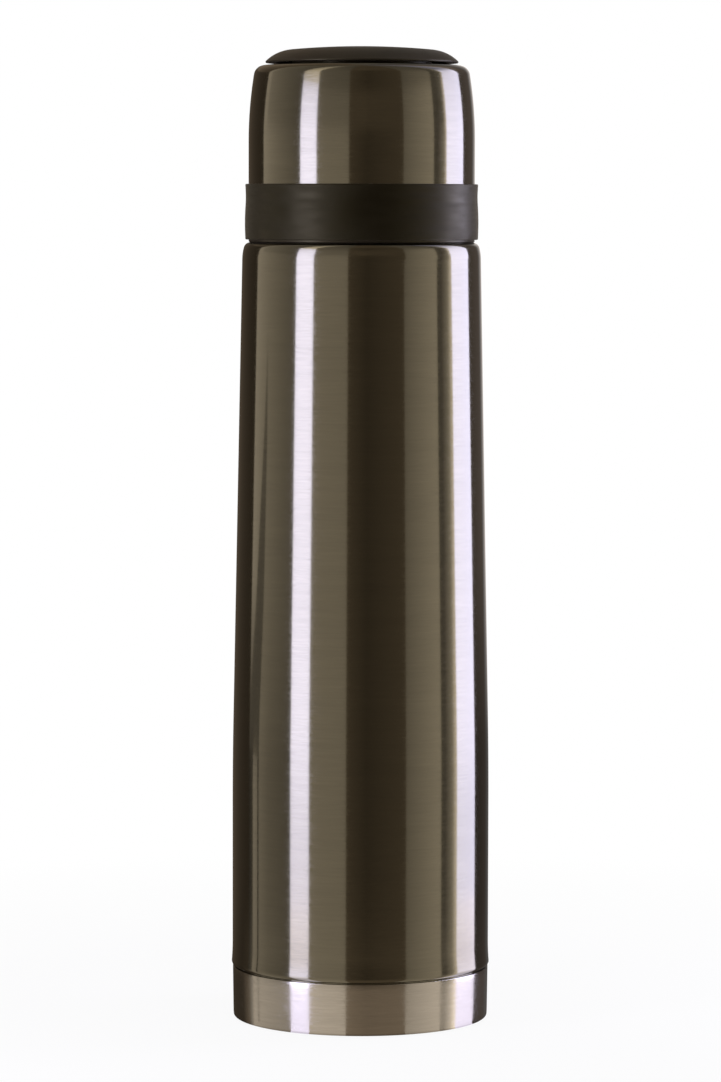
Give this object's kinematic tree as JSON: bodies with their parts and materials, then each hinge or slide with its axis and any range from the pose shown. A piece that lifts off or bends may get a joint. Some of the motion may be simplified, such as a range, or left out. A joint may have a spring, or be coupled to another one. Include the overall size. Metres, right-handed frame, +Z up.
{
  "type": "vacuum flask",
  "caption": "Double-walled steel vacuum flask with a tapered body, bare steel base cup, push-button pouring stopper and a screw-on drinking cup with a grip band.",
  "frame": {"origin": "centre of the foot, in the plane that the flask stands on", "axes": "+Z up along the flask's axis of revolution; X and Y are free, since the outside is round"},
  "size_m": [0.084, 0.084, 0.315],
  "materials": {
    "lacquered_steel": "satin olive-grey lacquer over steel brushed round the axis",
    "bare_steel": "bare stainless steel",
    "base_steel": "bare stainless steel brushed round the axis",
    "foil": "thin bright foil",
    "getter_metal": "sintered grey metal",
    "seal_glass": "fused glass bead",
    "cushion_rubber": "foamed rubber",
    "silicone": "translucent white silicone",
    "black_plastic": "fine satin texture",
    "button_plastic": "smooth satin",
    "liner_plastic": "smooth satin",
    "band_plastic": "fine matte texture",
    "disc_plastic": "smooth satin",
    "spring_steel": "drawn spring wire"
  },
  "bodies": {
    "flask": {"outer_shell": "lacquered_steel", "inner_vessel": "bare_steel", "reflective_foil": "foil", "vacuum_bottom": "bare_steel", "getter": "getter_metal", "vacuum_seal": "seal_glass", "base_cup": "base_steel", "base_cushion": "cushion_rubber"},
    "stopper_seal": {"stopper_gasket": "silicone"},
    "stopper": {"stopper_body": "black_plastic", "stopper_cap": "black_plastic", "stem_seal": "silicone", "button_spring": "spring_steel"},
    "valve": {"push_button": "button_plastic", "valve_stem": "bare_steel", "valve_disc": "black_plastic", "valve_gasket": "silicone", "valve_clip": "spring_steel"},
    "cup_ring": {"cup_band": "band_plastic"},
    "cup": {"cup_liner": "liner_plastic", "cup_shell": "lacquered_steel", "cup_disc": "disc_plastic"}
  },
  "joints": [
    {"name": "stopper_rise", "type": "slide", "parent": "flask", "child": "stopper_seal", "axis": [0, 0, 1], "range_m": [0, 0.0481]},
    {"name": "stopper_turn", "type": "hinge", "parent": "stopper_seal", "child": "stopper", "pos_m": [0, 0, 0.2744], "axis": [0, 0, 1], "range_deg": [0, 1440]},
    {"name": "button_press", "type": "slide", "parent": "stopper", "child": "valve", "axis": [0, 0, -1], "range_m": [0, 0.004], "stiffness_N_per_m": 600, "springref_m": -0.003, "deforming": ["button_spring"]},
    {"name": "cup_rise", "type": "slide", "parent": "stopper", "child": "cup_ring", "axis": [0, 0, 1], "range_m": [0, 0.0721]},
    {"name": "cup_turn", "type": "hinge", "parent": "cup_ring", "child": "cup", "pos_m": [0, 0, 0.252], "axis": [0, 0, 1], "range_deg": [0, 2160]}
  ],
  "couplings": [
    {"joint": "stopper_rise", "follows": "stopper_turn", "m_per_rad": 0.0019099},
    {"joint": "cup_rise", "follows": "cup_turn", "m_per_rad": 0.0019099}
  ]
}
